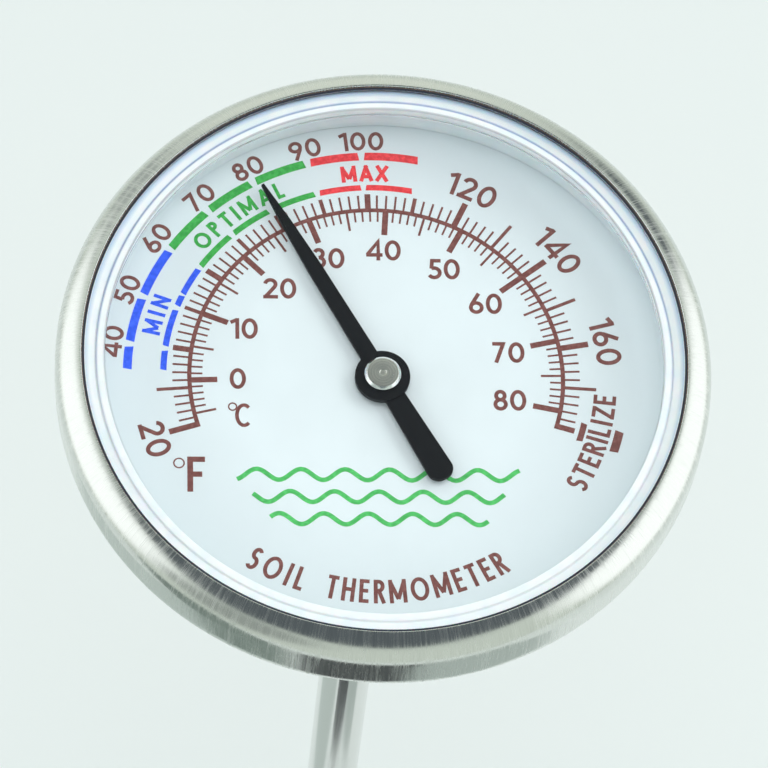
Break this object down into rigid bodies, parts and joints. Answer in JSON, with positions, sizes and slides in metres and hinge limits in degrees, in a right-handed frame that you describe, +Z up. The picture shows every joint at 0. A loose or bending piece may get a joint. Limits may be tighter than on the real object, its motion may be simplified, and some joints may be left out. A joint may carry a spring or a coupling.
{
  "type": "soil thermometer probe",
  "caption": "Dial soil thermometer: a round stainless head with a clear window over a dual temperature dial, a bimetal pointer and a thin pointed stem.",
  "frame": {"origin": "the point of the stem, on the axis of the stem and the dial", "axes": "+Z up the stem to the dial, which faces +Z; +Y towards twelve o'clock of the dial; +X to the right of the dial"},
  "size_m": [0.046, 0.046, 0.1592],
  "materials": {
    "stem_steel": "polished stainless steel, faintly drawn along its length",
    "bezel_steel": "stainless steel with fine brushing across the rim",
    "cup_steel": "spun stainless steel, satin",
    "nut_steel": "turned stainless steel",
    "inner_steel": "plain spring and washer steel",
    "bush_brass": "turned brass",
    "coil_strip": "rolled bimetal strip, heat tinted",
    "crystal_clear": "clear moulded window",
    "gasket_rubber": "black rubber",
    "dial_enamel": "white enamel with printed scales",
    "spacer_plastic": "white moulded plastic",
    "pointer_black": "black enamel",
    "hub_steel": "turned and bevelled, concentric tool marks"
  },
  "bodies": {
    "stem": {"stem_tube": "stem_steel", "stem_tip": "stem_steel", "coil_anchor": "inner_steel", "bimetal_coil": "coil_strip", "lower_bush": "bush_brass", "middle_bush": "bush_brass", "upper_bush": "bush_brass", "calibration_nut": "nut_steel", "retaining_collar": "inner_steel", "neck_seal": "gasket_rubber"},
    "head": {"case_cup": "cup_steel", "bezel_ring": "bezel_steel", "crystal": "crystal_clear", "crystal_gasket": "gasket_rubber", "dial_plate": "dial_enamel", "dial_spacer": "spacer_plastic", "friction_washer": "inner_steel"},
    "pointer": {"pointer": "pointer_black", "pointer_hub": "hub_steel", "spindle": "inner_steel", "coil_arbor": "bush_brass"}
  },
  "joints": [
    {"name": "head_calibration", "type": "hinge", "parent": "stem", "child": "head", "pos_m": [0, 0, 0.152], "axis": [0, 0, 1], "continuous": true},
    {"name": "pointer_turn", "type": "hinge", "parent": "stem", "child": "pointer", "pos_m": [0, 0, 0.1539], "axis": [0, 0, 1], "range_deg": [-135.2, 78.5], "stiffness_Nm_per_rad": 0.0004}
  ]
}
